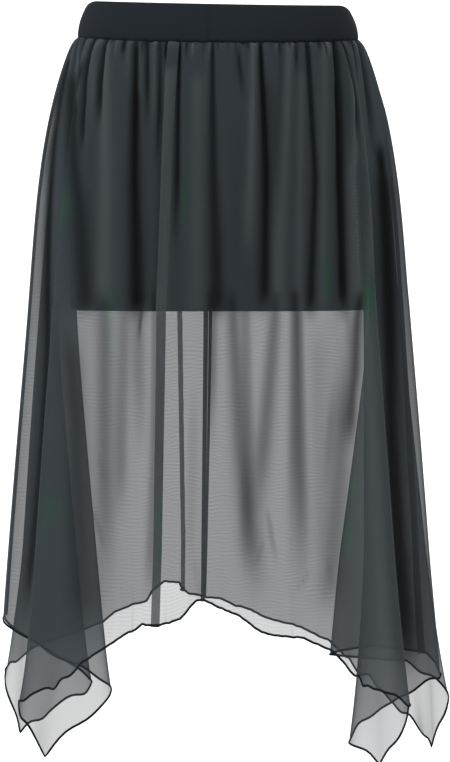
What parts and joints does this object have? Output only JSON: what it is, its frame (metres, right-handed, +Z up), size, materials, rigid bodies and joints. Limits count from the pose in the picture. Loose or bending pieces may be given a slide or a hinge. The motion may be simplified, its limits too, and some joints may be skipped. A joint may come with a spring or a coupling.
{
  "type": "skirt",
  "caption": "Long sheer skirt with a pointed handkerchief hem, gathered onto a wide stretch waistband over a short opaque slip.",
  "frame": {"origin": "on the body's axis at mid height of the waistband, where the wearer holds the skirt up", "axes": "+Z up; the front of the skirt faces -Y and its back +Y; +X towards the wearer's left, the right-hand side of the picture"},
  "size_m": [0.5192, 0.3864, 0.8737],
  "materials": {
    "waistband": "matt fine jersey over wide elastic, anthracite",
    "slip": "matt opaque lining jersey, near black",
    "chiffon": "sheer crinkle-free chiffon, anthracite with faint dark green blotches"
  },
  "bodies": {
    "root": {"waistband_front": "waistband", "waistband_back": "waistband", "slip_front": "slip", "slip_back": "slip", "skirt_front_left": "chiffon", "skirt_back_left": "chiffon", "skirt_back_right": "chiffon", "skirt_front_right": "chiffon"}
  },
  "joints": []
}
